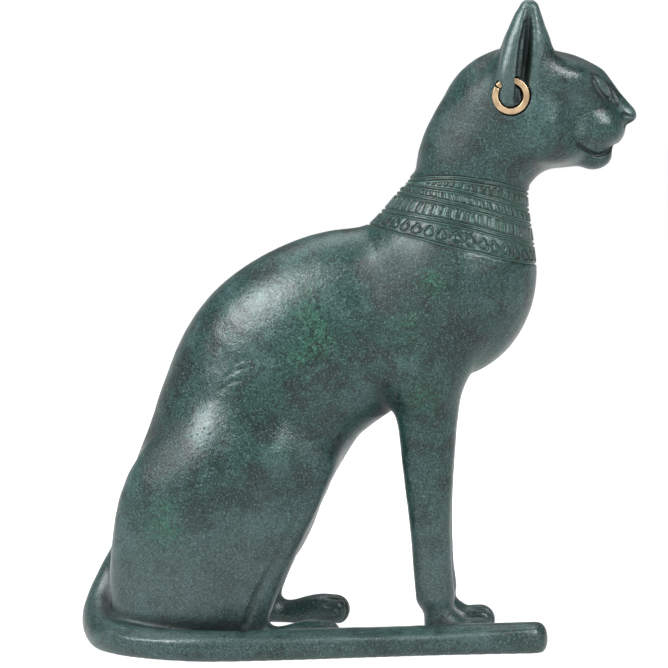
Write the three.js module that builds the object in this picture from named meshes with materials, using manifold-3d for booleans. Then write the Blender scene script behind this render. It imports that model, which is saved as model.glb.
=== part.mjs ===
// A seated cat in the ancient Egyptian manner, cast in one piece in bronze, with a gold ring through its right ear.
// The cat looks along +X, its left side is +Y, and it stands on the flat underside at Z = 0. Sizes are millimetres.
// The origin is on that underside, under the middle of the figure's overall size.

import * as THREE from "three";
import { edgeTable, triTable } from "three/addons/objects/MarchingCubes.js";
import { mergeVertices } from "three/addons/utils/BufferGeometryUtils.js";
import Module from "manifold-3d";

// Driving dimensions.
const FIGURE_HEIGHT = 300; // underside to ear tips
const RING_DIAMETER = 16.8; // earring, outside
const RING_BAND = 2.7; // width of its band, seen from the side
const RING_THICKNESS = 2; // the band's size across the cat
const RING_EDGE = 0.4; // the band's chamfer
const RING_SLIT = 0.6; // where its two ends nearly meet
const PIERCING_CLEARANCE = 0.4; // round the ring, in the ear

// The sculpture keeps its proportions: every number of the body below is a share of the height.
// One unit is a three-hundredth of it. Places are [along, across, up], along from a point under the belly.
const UNIT = FIGURE_HEIGHT / 300;
const SKIN_CELL = 1.6; // grid on which the skin is found
const SKIN_TRIANGLES = 7000; // what the skin is thinned to before the cuts
const CAT_TRIANGLES = 9200; // and what is left after them
const COLLAR_TILT = 0.24; // how much the collar drops, nape to breast, for each unit forward
const COLLAR_FOOT = 184.8; // height of its lower line above COLLAR_X
const COLLAR_X = 69.5;
const COLLAR_LINES = [0, 9.8, 18.5, 24.8, 32]; // its engraved lines, above the lowest
const LINE_WIDTH = 1.1;
const LINE_DEPTH = 0.6;
const TOE_GAP = 0.9; // width of the grooves between the toes
const TOE_SPACING = 3.7;

const { clamp, lerp, degToRad } = THREE.MathUtils;
const wasm = await Module();
wasm.setup();

// A shape is a function of x, y and z: the signed distance to its skin, negative inside.
// Past FAR_OFF only a lower bound is needed, so the distance to a ball round the shape stands for it.
const FAR_OFF = 24;

function boundedBy(centre, reach, distance) {
  return (x, y, z) => {
    const away = Math.hypot(x - centre.x, y - centre.y, z - centre.z) - reach;
    return away > FAR_OFF ? away : distance(x, y, z);
  };
}

// A rounded limb along stations of [x, y, z, radius, breadth]. Breadth is its width across the cat as a share of its depth.
function limb(stations, steps = 6) {
  const curve = (pick) => new THREE.CatmullRomCurve3(stations.map(pick), false, "catmullrom", 0.5);
  const path = curve(([x, y, z]) => new THREE.Vector3(x, y, z));
  const girth = curve(([, , , radius, breadth = 1]) => new THREE.Vector3(radius, breadth, 0));
  const count = (stations.length - 1) * steps;
  const rings = Array.from({ length: count + 1 }, (_, i) => ({
    at: path.getPoint(i / count),
    radius: girth.getPoint(i / count).x,
    breadth: girth.getPoint(i / count).y,
  }));
  const stretches = rings.slice(1).map((end, i) => {
    const start = rings[i];
    const run = end.at.clone().sub(start.at);
    return { start, end, run, perSquare: 1 / run.lengthSq(), lean: (end.radius - start.radius) / run.lengthSq() };
  });
  const ball = new THREE.Box3().setFromPoints(rings.map((r) => r.at)).getBoundingSphere(new THREE.Sphere());
  const widest = Math.max(...rings.map((r) => r.radius * Math.max(1, r.breadth)));
  return boundedBy(ball.center, ball.radius + widest, (x, y, z) => {
    let nearest = Infinity;
    for (const { start, end, run, perSquare, lean } of stretches) {
      const px = x - start.at.x;
      const py = y - start.at.y;
      const pz = z - start.at.z;
      const along = (px * run.x + py * run.y + pz * run.z) * perSquare;
      const aside = Math.hypot(px - along * run.x, (py - along * run.y) / start.breadth, pz - along * run.z);
      const h = clamp(along + lean * aside, 0, 1);
      const breadth = lerp(start.breadth, end.breadth, h);
      const qx = px - h * run.x;
      const qy = (py - h * run.y) / breadth;
      const qz = pz - h * run.z;
      const q = Math.sqrt(qx * qx + qy * qy + qz * qz) + 1e-9;
      const steepness = Math.sqrt(qx * qx + (qy / breadth) ** 2 + qz * qz) / q + 1e-9;
      nearest = Math.min(nearest, (q - lerp(start.radius, end.radius, h)) / steepness);
    }
    return nearest;
  });
}

// An egg-shaped mass with half-sizes [x, y, z], turned by roll, pitch and yaw about its own X, Y and Z, in degrees.
function mass(centre, halves, [roll, pitch, yaw] = [0, 0, 0]) {
  const turn = new THREE.Euler(degToRad(roll), degToRad(pitch), degToRad(yaw), "ZYX");
  const m = new THREE.Matrix4().makeRotationFromEuler(turn).transpose().elements;
  const [cx, cy, cz] = centre;
  const [rx, ry, rz] = halves;
  return boundedBy(new THREE.Vector3(...centre), Math.max(...halves), (x, y, z) => {
    const px = x - cx;
    const py = y - cy;
    const pz = z - cz;
    const qx = (m[0] * px + m[4] * py + m[8] * pz) / rx;
    const qy = (m[1] * px + m[5] * py + m[9] * pz) / ry;
    const qz = (m[2] * px + m[6] * py + m[10] * pz) / rz;
    const q = Math.sqrt(qx * qx + qy * qy + qz * qz) + 1e-9;
    const steepness = Math.sqrt((qx / rx) ** 2 + (qy / ry) ** 2 + (qz / rz) ** 2) / q + 1e-9;
    return (q - 1) / steepness;
  });
}

// Two shapes joined with a fillet, and one cut out of another with a soft edge.
function melt(a, b, fillet) {
  const h = Math.max(fillet - Math.abs(a - b), 0) / fillet;
  return Math.min(a, b) - (h * h * fillet) / 4;
}

const carve = (a, b, fillet) => -melt(-a, b, fillet);

// The body's masses. Each pair is modelled once, on the left side.
const trunk = limb([
  [-72, 0, 18, 36, 0.62],
  [-65, 0, 42, 38.5, 0.64],
  [-53.5, 0, 65, 44.6, 0.64],
  [-45.5, 0, 86, 45, 0.66],
  [-37, 0, 106, 46.4, 0.68],
  [-23, 0, 130, 48.5, 0.66],
  [2, 0, 147, 46.2, 0.64],
  [26, 0, 155.2, 40.5, 0.66],
  [47, 0, 165, 40, 0.66],
]);
const breast = mass([56.8, 0, 174], [35.2, 26, 40.4], [0, 6, 0]);
const neck = limb([
  [55, 0, 178, 33.4, 0.76],
  [60.4, 0, 199, 30.4, 0.78],
  [64.4, 0, 213, 27.1, 0.82],
  [67.5, 0, 228, 27.4, 0.84],
  [79.6, 0, 246, 29.4, 0.85],
]);
const shoulder = mass([46, 20, 146], [18, 10, 33], [0, 8, 0]);
const foreleg = limb([
  [45, 15, 130, 17, 0.75],
  [44.8, 13.6, 108, 14.2, 0.7],
  [45, 12.4, 92, 12.6, 0.68],
  [45.6, 12, 73, 10.9, 0.7],
  [46.6, 12, 54, 9.6, 0.78],
  [47.6, 12.2, 36, 9.1, 0.8],
  [49, 12.6, 23, 9.2, 0.85],
]);
const forepaw = limb([
  [52, 13, 10, 8.4, 0.95],
  [61, 13.2, 6, 7, 1.05],
  [69.8, 13.4, 5.8, 7, 1.08],
]);
const flank = mass([-40, 19, 110], [30, 11.6, 9], [0, 10, 0]);
const thigh = limb([
  [-60, 21, 80, 30, 0.57],
  [-60, 25, 62, 38, 0.47],
  [-66, 25.6, 34, 36.4, 0.45],
  [-69, 25.6, 15, 31.6, 0.5],
]);
const knee = limb([
  [-44, 22, 84, 20, 0.6],
  [-22, 24, 86, 14, 0.7],
]);
const shin = limb([
  [-9.6, 20, 84, 9, 0.9],
  [-13.2, 25.6, 70, 8.6, 0.9],
  [-20, 28, 53, 7.6, 0.9],
  [-27.6, 28, 35.2, 7.2, 0.9],
  [-34, 27.6, 19, 6.8, 0.9],
  [-36, 27.4, 8, 6.4, 1],
]);
const hindfoot = limb([
  [-36, 27, 5.5, 5.8, 1.1],
  [-23, 27, 4.2, 6, 1.15],
  [-10, 27, 6, 7.4, 1.05],
  [-1.4, 27, 6.2, 7.2, 1.08],
]);
const TAIL_END = 102;
const tail = limb([
  [-96, 2, 48, 6, 1],
  [-106.2, -4, 27, 7.4, 1],
  [-110, -14, 12, 8.4, 1],
  [-104, -31, 6, 8.2, 1],
  [-86, -45, 5.4, 7.6, 1],
  [-57, -50, 5.4, 7.6, 1],
  [-26, -46, 5.4, 7.6, 1],
  [12, -38, 5.4, 7.6, 1],
  [52, -30, 5.6, 7.6, 1],
  [98, -22.8, 6, 7.8, 1],
]);
const skull = mass([86, 0, 251], [30.5, 25.5, 29]);
const forehead = mass([107, 0, 253], [24, 18, 22.8]);
const cheek = mass([99, 14.6, 241.6], [20, 11.2, 15], [0, 0, -14]);
const cheekHollow = mass([118.8, 23.2, 247.5], [6, 7, 9], [0, 10, -20]);
const temple = mass([111, 12.8, 262], [13.4, 9, 8.8], [0, 22, -31]);
const bridge = limb([
  [121, 0, 261.6, 7.4, 0.8],
  [135.6, 0, 249.2, 4.4, 1],
]);
const nose = mass([137.6, 0, 247.6], [3.6, 4.4, 3.2]);
const muzzle = limb([
  [106, 0, 242, 17, 0.95],
  [126.8, 0, 242, 9.4, 1],
]);
const whiskerPad = mass([124.6, 6.8, 242.4], [10, 7.8, 8.6], [0, 8, -20]);
const jaw = limb([
  [90, 0, 243.6, 17, 1],
  [107, 0, 237.6, 10.2, 1.16],
  [120.4, 0, 230.4, 7, 1.12],
]);
const chin = mass([122, 0, 229], [7.8, 8, 6]);
const mouth = limb([
  [132, 0, 233.6, 0.8],
  [130, 3.4, 232.6, 0.8],
  [126.5, 7.2, 230.6, 0.9],
  [122.8, 8.9, 229.4, 1],
  [120, 10.4, 230, 1],
  [117.6, 13.6, 231.7, 1],
  [115, 17, 233.4, 0.9],
  [113.4, 19, 234.6, 0.6],
]);
const eyeSocket = mass([125.8, 13.4, 260.6], [3.8, 9, 5.6], [38, 0, 43]);
const eyeball = mass([123.8, 11.6, 260.2], [3.5, 7.2, 3.9], [38, 0, 43]);
const ear = limb([
  [88.6, 17, 262, 14.6, 0.72],
  [89.8, 20, 276, 12, 0.7],
  [90.2, 21.5, 286, 8.3, 0.76],
  [90.8, 22.5, 295.4, 4.6, 0.85],
]);
const earFlap = limb([
  [87.8, 23.4, 291.5, 2, 0.8],
  [84.4, 25.4, 279, 4, 0.7],
  [81.6, 27, 265.5, 4.8, 0.76],
  [80.9, 25.6, 257, 4.8, 0.66],
  [82.2, 23.6, 249.5, 3.4, 0.7],
]);
const earHollow = mass([90.7, 31, 273], [4.3, 8.2, 25], [4, 6, 0]);
const earSlit = limb([
  [89.4, 26.6, 289.5, 0.9],
  [88, 28.6, 279, 1.6],
  [87, 29, 267, 1.7],
  [85.8, 28.6, 257, 1.3],
  [85.2, 26, 251, 0.9],
]);

function head(x, y, z) {
  const side = Math.abs(y);
  let d = melt(skull(x, y, z), forehead(x, y, z), 10);
  d = melt(d, melt(jaw(x, y, z), muzzle(x, y, z), 6), 8);
  d = melt(d, cheek(x, side, z), 8);
  d = melt(d, temple(x, side, z), 6);
  d = melt(d, bridge(x, y, z), 4);
  d = carve(d, cheekHollow(x, side, z), 8);
  d = melt(d, whiskerPad(x, side, z), 3);
  d = melt(d, chin(x, y, z), 3);
  d = melt(d, nose(x, y, z), 2);
  d = carve(d, eyeSocket(x, side, z), 3);
  d = melt(d, eyeball(x, side, z), 0.8);
  d = carve(d, mouth(x, side, z), 1.2);
  return earOn(d, x, side, z);
}

function earOn(d, x, side, z) {
  let withEar = melt(d, ear(x, side, z), 9);
  withEar = carve(withEar, earHollow(x, side, z), 3);
  withEar = melt(withEar, earFlap(x, side, z), 4);
  return carve(withEar, earSlit(x, side, z), 1);
}

function hindLeg(x, side, z) {
  const haunch = melt(knee(x, side, z), thigh(x, side, z), 14);
  return melt(haunch, shin(x, side, z), 9);
}

function cat(x, y, z) {
  const side = Math.abs(y);
  let d = melt(trunk(x, y, z), breast(x, y, z), 20);
  d = melt(d, neck(x, y, z), 13);
  d = melt(d, shoulder(x, side, z), 14);
  d = melt(d, flank(x, side, z), 10);
  d = melt(d, hindLeg(x, side, z), 17);
  d = melt(d, hindfoot(x, side, z), 5);
  d = melt(d, melt(foreleg(x, side, z), forepaw(x, side, z), 5), 8);
  d = melt(d, head(x, y, z), 4);
  d = melt(d, carve(tail(x, y, z), TAIL_END - x, 5), 4);
  return Math.max(d, -2 - z); // nothing grows far below the floor
}

// The skin of a shape as points and triangles, found on a grid. Blocks of the grid that the skin can't cross are passed over.
function skinOf(shape, low, high, cell, block = 8) {
  const counts = low.map((v, i) => Math.ceil((high[i] - v) / cell / block) * block);
  const at = (axis, i) => low[axis] + i * cell;
  const across = counts[0] + 1;
  const layer = across * (counts[1] + 1);
  const key = (i, j, k) => i + j * across + k * layer;
  const values = new Float32Array(layer * (counts[2] + 1)).fill(NaN);
  const valueAt = (i, j, k) => {
    const n = key(i, j, k);
    if (Number.isNaN(values[n])) values[n] = shape(at(0, i), at(1, j), at(2, k)) || 1e-6;
    return values[n];
  };
  const corners = [
    [0, 0, 0],
    [1, 0, 0],
    [1, 1, 0],
    [0, 1, 0],
    [0, 0, 1],
    [1, 0, 1],
    [1, 1, 1],
    [0, 1, 1],
  ];
  const edges = [
    [0, 1],
    [1, 2],
    [3, 2],
    [0, 3],
    [4, 5],
    [5, 6],
    [7, 6],
    [4, 7],
    [0, 4],
    [1, 5],
    [2, 6],
    [3, 7],
  ];
  const points = [];
  const triangles = [];
  const pointOnEdge = new Map();
  const meet = (cube, edge) => {
    const [p, q] = edges[edge].map((c) => corners[c].map((v, axis) => v + cube[axis]));
    const axis = p[0] !== q[0] ? 0 : p[1] !== q[1] ? 1 : 2;
    const id = key(...p) * 3 + axis;
    if (!pointOnEdge.has(id)) {
      const a = valueAt(...p);
      const b = valueAt(...q);
      const share = clamp(a / (a - b), 0.02, 0.98);
      pointOnEdge.set(id, points.length);
      points.push(p.map((v, n) => at(n, v) + (n === axis ? share * cell : 0)));
    }
    return pointOnEdge.get(id);
  };
  const half = block / 2;
  const blockReach = Math.sqrt(3) * half * cell * 1.4;
  const crossCube = (i, j, k) => {
    let inside = 0;
    corners.forEach(([a, b, c], n) => {
      if (valueAt(i + a, j + b, k + c) < 0) inside |= 1 << n;
    });
    if (!edgeTable[inside]) return;
    for (let n = inside * 16; triTable[n] !== -1; n += 3) {
      const [a, b, c] = [0, 2, 1].map((m) => meet([i, j, k], triTable[n + m]));
      if (a !== b && b !== c && c !== a) triangles.push([a, b, c]);
    }
  };
  for (let k = 0; k < counts[2]; k += block)
    for (let j = 0; j < counts[1]; j += block)
      for (let i = 0; i < counts[0]; i += block) {
        if (Math.abs(shape(at(0, i + half), at(1, j + half), at(2, k + half))) > blockReach) continue;
        for (let n = 0; n < block ** 3; n++)
          crossCube(i + (n % block), j + (Math.floor(n / block) % block), k + Math.floor(n / block ** 2));
      }
  return { points, triangles };
}

// Thins a closed skin to a number of triangles. The edge whose loss bends the surface least goes first.
// Each point carries the sum of squared distances to the planes that met there, as ten numbers.
function thinned({ points, triangles }, target) {
  const faces = triangles.map((t) => [...t]);
  const facesAt = points.map(() => new Set());
  faces.forEach((face, f) => face.forEach((p) => facesAt[p].add(f)));
  const planes = points.map(() => new Float64Array(10));
  const normalOf = ([a, b, c], moved = -1, to = null) => {
    const [p, q, r] = [a, b, c].map((n) => (n === moved ? to : points[n]));
    const [ux, uy, uz] = [q[0] - p[0], q[1] - p[1], q[2] - p[2]];
    const [vx, vy, vz] = [r[0] - p[0], r[1] - p[1], r[2] - p[2]];
    return [uy * vz - uz * vy, uz * vx - ux * vz, ux * vy - uy * vx];
  };
  for (const face of faces) {
    const normal = normalOf(face);
    const size = Math.hypot(...normal) || 1e-12;
    const [a, b, c] = normal.map((v) => v / size);
    const d = -(a * points[face[0]][0] + b * points[face[0]][1] + c * points[face[0]][2]);
    const terms = [a * a, a * b, a * c, a * d, b * b, b * c, b * d, c * c, c * d, d * d];
    for (const p of face) terms.forEach((v, n) => (planes[p][n] += v * size));
  }
  const strain = (q, [x, y, z]) =>
    q[0] * x * x + 2 * (q[1] * x * y + q[2] * x * z + q[3] * x) + q[4] * y * y +
    2 * (q[5] * y * z + q[6] * y) + q[7] * z * z + 2 * q[8] * z + q[9];
  const best = (q, p, r) => {
    const middle = p.map((v, n) => (v + r[n]) / 2);
    const m = new THREE.Matrix3().set(q[0], q[1], q[2], q[1], q[4], q[5], q[2], q[5], q[7]);
    const span = Math.hypot(p[0] - r[0], p[1] - r[1], p[2] - r[2]);
    const size = q[0] + q[4] + q[7];
    if (m.determinant() > 1e-4 * size ** 3) {
      const place = new THREE.Vector3(-q[3], -q[6], -q[8]).applyMatrix3(m.invert()).toArray();
      if (Math.hypot(...place.map((v, n) => v - middle[n])) < span) return place;
    }
    return [middle, p, r].reduce((a, b) => (strain(q, a) <= strain(q, b) ? a : b));
  };
  // A heap of edges, least strain first.
  const heap = [];
  const age = new Int32Array(points.length);
  const swap = (i, j) => ([heap[i], heap[j]] = [heap[j], heap[i]]);
  const push = (entry) => {
    let i = heap.push(entry) - 1;
    for (let up = (i - 1) >> 1; i && heap[up].cost > heap[i].cost; i = up, up = (i - 1) >> 1) swap(i, up);
  };
  const pop = () => {
    const top = heap[0];
    const last = heap.pop();
    if (!heap.length) return top;
    heap[0] = last;
    for (let i = 0, down; (down = 2 * i + 1) < heap.length; i = down) {
      if (down + 1 < heap.length && heap[down + 1].cost < heap[down].cost) down++;
      if (heap[i].cost <= heap[down].cost) break;
      swap(i, down);
    }
    return top;
  };
  const offer = (a, b) => {
    const q = planes[a].map((v, n) => v + planes[b][n]);
    const place = best(q, points[a], points[b]);
    const span = Math.hypot(...points[a].map((v, n) => v - points[b][n]));
    push({ cost: strain(q, place) + 1e-4 * span ** 3, a, b, q, place, stamp: age[a] + age[b] });
  };
  const neighbours = (p) => new Set([...facesAt[p]].flatMap((f) => faces[f]).filter((n) => n !== p));
  points.forEach((_, p) => neighbours(p).forEach((n) => n > p && offer(p, n)));
  const dead = new Uint8Array(points.length);
  const holds = (p, place, other) =>
    [...facesAt[p]].every((f) => {
      if (faces[f].includes(other)) return true;
      const before = normalOf(faces[f]);
      const after = normalOf(faces[f], p, place);
      const agree = before.reduce((sum, v, n) => sum + v * after[n], 0);
      return agree > 0.3 * Math.hypot(...before) * Math.hypot(...after) + 1e-12;
    });
  let left = faces.length;
  while (left > target && heap.length) {
    const { a, b, q, place, stamp } = pop();
    if (dead[a] || dead[b] || stamp !== age[a] + age[b]) continue;
    const around = neighbours(b);
    const shared = [...neighbours(a)].filter((n) => around.has(n));
    if (shared.length !== 2 || !holds(a, place, b) || !holds(b, place, a)) continue;
    for (const f of [...facesAt[b]]) {
      if (faces[f].includes(a)) {
        faces[f].forEach((p) => facesAt[p].delete(f));
        faces[f] = null;
        left--;
      } else {
        faces[f] = faces[f].map((p) => (p === b ? a : p));
        facesAt[a].add(f);
      }
    }
    dead[b] = 1;
    points[a] = place;
    planes[a] = q;
    const near = neighbours(a);
    age[a] += 1;
    near.forEach((n) => offer(a, n));
  }
  return { points, triangles: faces.filter(Boolean) };
}

function solidFrom({ points, triangles }, scale = 1) {
  const vertProperties = new Float32Array(points.flat().map((v) => v * scale));
  return new wasm.Manifold(new wasm.Mesh({ numProp: 3, vertProperties, triVerts: new Uint32Array(triangles.flat()) }));
}

function solidOf(geometry) {
  const bare = geometry.clone().deleteAttribute("normal").deleteAttribute("uv");
  const merged = mergeVertices(bare, 1e-4);
  return new wasm.Manifold(
    new wasm.Mesh({
      numProp: 3,
      vertProperties: merged.attributes.position.array,
      triVerts: new Uint32Array(merged.index.array),
    }),
  );
}

function skinFrom(solid) {
  const { vertProperties, triVerts } = solid.getMesh();
  const threes = (list) => Array.from({ length: list.length / 3 }, (_, i) => [...list.slice(3 * i, 3 * i + 3)]);
  return { points: threes(vertProperties), triangles: threes(triVerts) };
}

function geometryOf({ points, triangles }) {
  const geometry = new THREE.BufferGeometry();
  geometry.setAttribute("position", new THREE.Float32BufferAttribute(points.flat(), 3));
  geometry.setIndex(triangles.flat());
  const used = mergeVertices(geometry.toNonIndexed(), 1e-6);
  used.computeVertexNormals();
  return used;
}

// The earring hangs from the rim of the right ear, in a plane along the cat.
const RING_LINE_RADIUS = (RING_DIAMETER - RING_BAND) / 2;
const EAR_PIERCING = new THREE.Vector3(82.8, -27.4, 263.4).multiplyScalar(UNIT); // middle of the hole through the rim
const RING_CENTRE = EAR_PIERCING.clone().setZ(EAR_PIERCING.z - RING_LINE_RADIUS);

// A hole that clears the ring all the way round.
function piercing() {
  const reach = Math.hypot(RING_BAND / 2 - RING_EDGE / 2, RING_THICKNESS / 2 - RING_EDGE / 2) + PIERCING_CLEARANCE;
  const around = new THREE.TorusGeometry(RING_LINE_RADIUS, reach, 12, 48);
  return solidOf(around.rotateX(Math.PI / 2).translate(...RING_CENTRE.toArray()));
}

// The collar's engraved lines: slabs that lie tilted across the neck, less a core that lies just under the skin.
function collarLines() {
  const under = (x, y, z) => Math.max(cat(x, y, z) + LINE_DEPTH, Math.abs(x - 58) - 46, Math.abs(z - 196) - 30);
  const core = solidFrom(thinned(skinOf(under, [8, -40, 162], [108, 40, 230], 2), 700), UNIT);
  const slabs = COLLAR_LINES.map((line) =>
    solidOf(
      new THREE.BoxGeometry(90, 80, LINE_WIDTH)
        .rotateY(Math.atan(COLLAR_TILT))
        .translate(COLLAR_X - 10, 0, COLLAR_FOOT + line + 10 * COLLAR_TILT)
        .scale(UNIT, UNIT, UNIT),
    ),
  );
  return slabs.reduce((all, slab) => all.add(slab)).subtract(core);
}

// The grooves between the toes of one paw: upright plates outside a line that follows the paw's top and front.
function toeGrooves(tipX, middleY, topZ) {
  const bend = topZ - 6.4; // the line's radius at the front
  const outside = new THREE.Shape()
    .moveTo(tipX - 14, topZ + 6)
    .lineTo(tipX - 14, topZ + 0.2)
    .lineTo(tipX - bend - 1, topZ - 1)
    .absarc(tipX - bend - 1, 5.4, bend, Math.PI / 2, -0.3, true)
    .lineTo(tipX - 1.4, -2)
    .lineTo(tipX + 6, -2)
    .lineTo(tipX + 6, topZ + 6);
  const plate = new THREE.ExtrudeGeometry(outside, { depth: TOE_GAP, bevelEnabled: false, curveSegments: 8 });
  plate.rotateX(Math.PI / 2).translate(0, middleY + TOE_GAP / 2, 0);
  const plates = [-1, 0, 1].map((i) => solidOf(plate.clone().translate(0, i * TOE_SPACING, 0).scale(UNIT, UNIT, UNIT)));
  return plates.reduce((all, one) => all.add(one));
}

function catSkin() {
  const rough = thinned(skinOf(cat, [-124, -64, -6], [148, 52, 304], SKIN_CELL), SKIN_TRIANGLES);
  const below = 12 * UNIT;
  const floor = new THREE.BoxGeometry(400 * UNIT, 400 * UNIT, below).translate(0, 0, -below / 2);
  const toes = [1, -1].flatMap((side) => [toeGrooves(76.8, side * 13.4, 12.8), toeGrooves(5.8, side * 27, 13.4)]);
  const cuts = [solidOf(floor), piercing(), collarLines(), ...toes];
  const finished = cuts.reduce((solid, cut) => solid.subtract(cut), solidFrom(rough, UNIT));
  return thinned(skinFrom(finished), CAT_TRIANGLES);
}

// The earring's centre line, from one end at the slit round to the other.
class RingLine extends THREE.Curve {
  getPoint(t, target = new THREE.Vector3()) {
    const slitAt = degToRad(142);
    const slitHalf = RING_SLIT / 2 / RING_LINE_RADIUS;
    const angle = slitAt + slitHalf + t * 2 * (Math.PI - slitHalf);
    return target.set(Math.cos(angle), 0, Math.sin(angle)).multiplyScalar(RING_LINE_RADIUS);
  }
}

function ringGeometry() {
  const [w, t, e] = [RING_BAND / 2, RING_THICKNESS / 2, RING_EDGE];
  const section = new THREE.Shape([
    new THREE.Vector2(-w + e, -t),
    new THREE.Vector2(w - e, -t),
    new THREE.Vector2(w, -t + e),
    new THREE.Vector2(w, t - e),
    new THREE.Vector2(w - e, t),
    new THREE.Vector2(-w + e, t),
    new THREE.Vector2(-w, t - e),
    new THREE.Vector2(-w, -t + e),
  ]);
  return new THREE.ExtrudeGeometry(section, { extrudePath: new RingLine(), steps: 36 });
}

const bronze = new THREE.MeshStandardMaterial({ color: 0x47605c, roughness: 0.45, metalness: 0.4 });
const gold = new THREE.MeshStandardMaterial({ color: 0xc79a68, roughness: 0.35, metalness: 0.9 });

const figure = new THREE.Group();
const catMesh = new THREE.Mesh(geometryOf(catSkin()), bronze);
catMesh.name = "cat";
figure.add(catMesh);

const ringMesh = new THREE.Mesh(ringGeometry(), gold);
ringMesh.name = "earring";
ringMesh.position.copy(RING_CENTRE);
figure.add(ringMesh);

const overall = new THREE.Box3().setFromObject(figure);
const middle = overall.getCenter(new THREE.Vector3());
figure.position.set(-middle.x, -middle.y, -overall.min.z);

export default figure;
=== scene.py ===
"""A seated cat cast in bronze, in the ancient Egyptian manner, with a gold ring in its right ear.

The body is the solid's own skin, made fine and carved: masses are in millimetres in the cat's own frame,
along from a point under the belly, across to its left, and up.
"""

import math

import bpy
import numpy as np
from mathutils import Euler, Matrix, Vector


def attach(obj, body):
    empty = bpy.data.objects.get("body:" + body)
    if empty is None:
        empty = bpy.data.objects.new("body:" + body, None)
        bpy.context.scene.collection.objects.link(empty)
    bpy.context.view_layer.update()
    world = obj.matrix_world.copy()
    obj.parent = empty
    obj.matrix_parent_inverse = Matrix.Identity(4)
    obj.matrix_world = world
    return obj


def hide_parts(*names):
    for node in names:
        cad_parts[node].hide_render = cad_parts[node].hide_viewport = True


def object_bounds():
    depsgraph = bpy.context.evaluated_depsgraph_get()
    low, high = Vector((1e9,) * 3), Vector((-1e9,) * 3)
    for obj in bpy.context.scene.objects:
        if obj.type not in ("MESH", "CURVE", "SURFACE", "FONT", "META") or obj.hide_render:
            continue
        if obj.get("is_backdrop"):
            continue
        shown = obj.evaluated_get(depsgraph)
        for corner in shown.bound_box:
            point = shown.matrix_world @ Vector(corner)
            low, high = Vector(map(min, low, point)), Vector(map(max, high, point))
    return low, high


MM = 0.001
SKIN_VOXEL = 1.15
FAR_OFF = 24.0
CAT_TRIANGLES = 190000

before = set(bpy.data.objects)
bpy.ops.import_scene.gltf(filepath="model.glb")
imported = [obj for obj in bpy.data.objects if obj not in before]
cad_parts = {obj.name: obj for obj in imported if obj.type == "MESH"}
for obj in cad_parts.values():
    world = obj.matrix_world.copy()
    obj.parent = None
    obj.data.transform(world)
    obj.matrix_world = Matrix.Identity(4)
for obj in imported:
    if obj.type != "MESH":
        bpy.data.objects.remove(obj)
solid_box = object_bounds()


# Shapes as signed distances, negative inside.
# Each takes points as rows of x, y, z and answers with one distance for each.

def smooth_path(stations, steps=6):
    """A smooth curve through rows of numbers, its ends included."""
    rows = np.array(stations, float)
    rows = np.vstack([2 * rows[0] - rows[1], rows, 2 * rows[-1] - rows[-2]])
    path = []
    for before, start, end, after in zip(rows, rows[1:], rows[2:], rows[3:]):
        for t in np.arange(steps) / steps:
            bend = (2 * before - 5 * start + 4 * end - after) * t * t
            twist = (3 * start - before - 3 * end + after) * t ** 3
            path.append(0.5 * (2 * start + (end - before) * t + bend + twist))
    path.append(rows[-2])
    return np.array(path)


def near_only(points, low, high, measure):
    """Measures only the points near a box. The rest are far off."""
    result = np.full(len(points), FAR_OFF)
    near = np.all((points > low - FAR_OFF) & (points < high + FAR_OFF), axis=1)
    if near.any():
        result[near] = measure(points[near])
    return result


def limb(*stations):
    """A rounded limb through stations of x, y, z, radius and breadth across the cat."""
    rings = smooth_path([station if len(station) == 5 else (*station, 1.0) for station in stations])
    widest = (rings[:, 3] * np.maximum(rings[:, 4], 1.0)).max()
    low = rings[:, :3].min(axis=0) - widest
    high = rings[:, :3].max(axis=0) + widest

    def measure(points):
        nearest = np.full(len(points), np.inf)
        for start, end in zip(rings, rings[1:]):
            run = end[:3] - start[:3]
            along = (points - start[:3]) @ run / (run @ run)
            aside = points - start[:3] - along[:, None] * run
            aside[:, 1] /= start[4]
            lean = (end[3] - start[3]) / (run @ run)
            along = np.clip(along + lean * np.sqrt((aside ** 2).sum(axis=1)), 0, 1)
            offset = points - start[:3] - along[:, None] * run
            radius = start[3] + along * (end[3] - start[3])
            breadth = start[4] + along * (end[4] - start[4])
            offset[:, 1] /= breadth
            reach = np.sqrt((offset ** 2).sum(axis=1)) + 1e-9
            offset[:, 1] /= breadth
            steepness = np.sqrt((offset ** 2).sum(axis=1)) / reach + 1e-9
            nearest = np.minimum(nearest, (reach - radius) / steepness)
        return nearest

    return lambda points: near_only(points, low, high, measure)


def mass(centre, halves, turn=(0, 0, 0)):
    """An egg-shaped mass, turned about its own axes by degrees."""
    axes = np.array(Euler([math.radians(angle) for angle in turn]).to_matrix())
    centre = np.array(centre, float)
    halves = np.array(halves, float)

    def measure(points):
        offset = (points - centre) @ axes / halves
        reach = np.sqrt((offset ** 2).sum(axis=1)) + 1e-9
        steepness = np.sqrt(((offset / halves) ** 2).sum(axis=1)) / reach + 1e-9
        return (reach - 1) / steepness

    return lambda points: near_only(points, centre - halves.max(), centre + halves.max(), measure)


def folded(points):
    """Points with the right side laid over the left, for shapes that are made once for both."""
    return points * (1, 0, 1) + np.abs(points) * (0, 1, 0)


def melt(first, second, fillet):
    """Two shapes as one, with a rounded fillet between them."""
    overlap = np.maximum(fillet - np.abs(first - second), 0) / fillet
    return np.minimum(first, second) - overlap ** 2 * fillet / 4


def carve(first, second, edge):
    """The first shape with the second cut out of it, the rim rounded."""
    return -melt(-first, second, edge)


# The cat's masses. A pair is made once, on the left side.

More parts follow.
